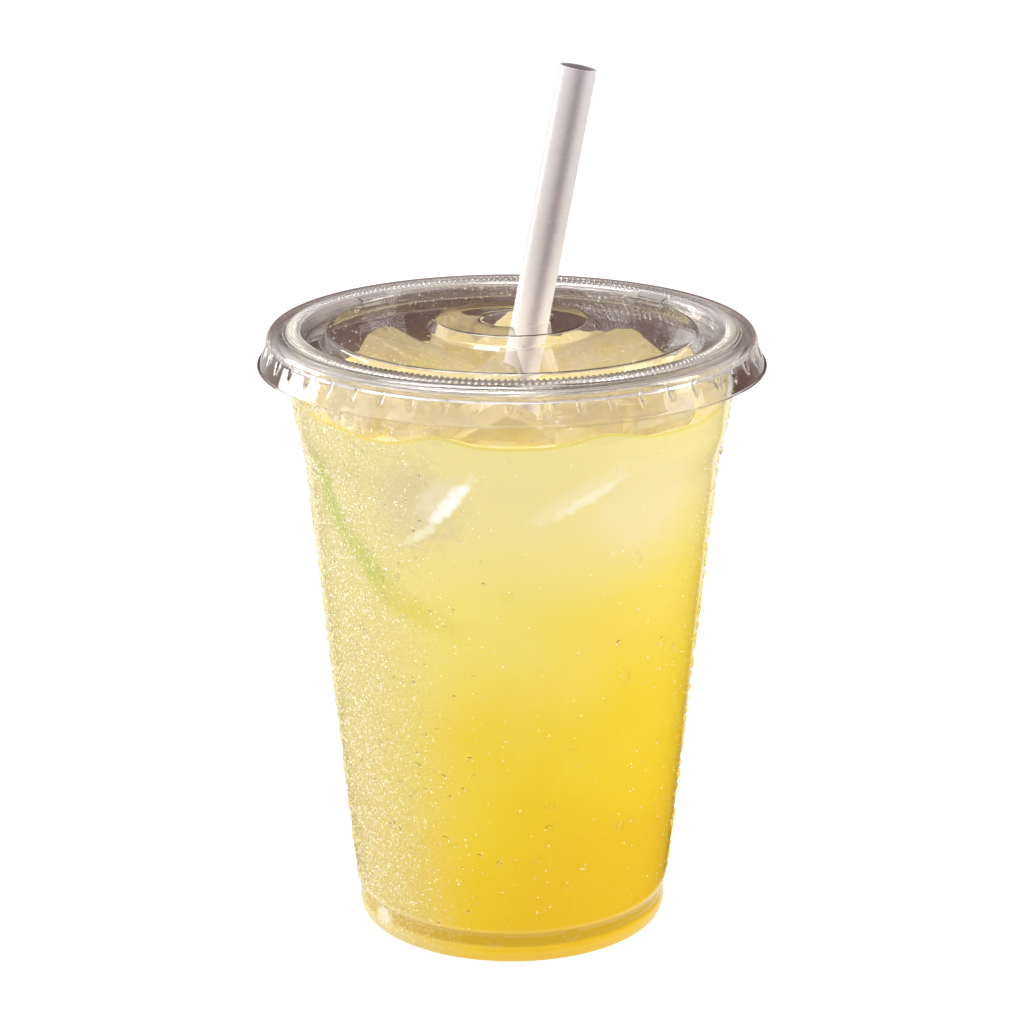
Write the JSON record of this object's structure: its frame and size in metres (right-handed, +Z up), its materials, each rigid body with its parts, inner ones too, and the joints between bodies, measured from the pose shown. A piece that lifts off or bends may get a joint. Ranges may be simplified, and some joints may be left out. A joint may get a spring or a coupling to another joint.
{
  "type": "takeaway cup of lemon juice",
  "caption": "Clear tapered plastic cup of iced lemon juice with a flat clip-over lid and a straw leaning through the lid's hole.",
  "frame": {"origin": "middle of the cup's foot ring, on the surface it stands on", "axes": "+Z up along the cup's axis, +X the way the straw leans, -Y towards the viewer"},
  "size_m": [0.1026, 0.1026, 0.1787],
  "materials": {
    "clear_cup": "clear, glossy",
    "clear_lid": "clear, glossy",
    "straw": "frosted, smooth",
    "lemon_drink": "cloudy yellow liquid",
    "ice": "melting, wet",
    "water_drops": "clear condensation",
    "citrus": "pale rind and flesh"
  },
  "bodies": {
    "root": {"cup": "clear_cup", "lid": "clear_lid", "straw": "straw", "drink": "lemon_drink", "ice_front_left": "ice", "ice_front_right": "ice", "ice_right": "ice", "ice_back": "ice", "ice_left": "ice"}
  },
  "joints": []
}
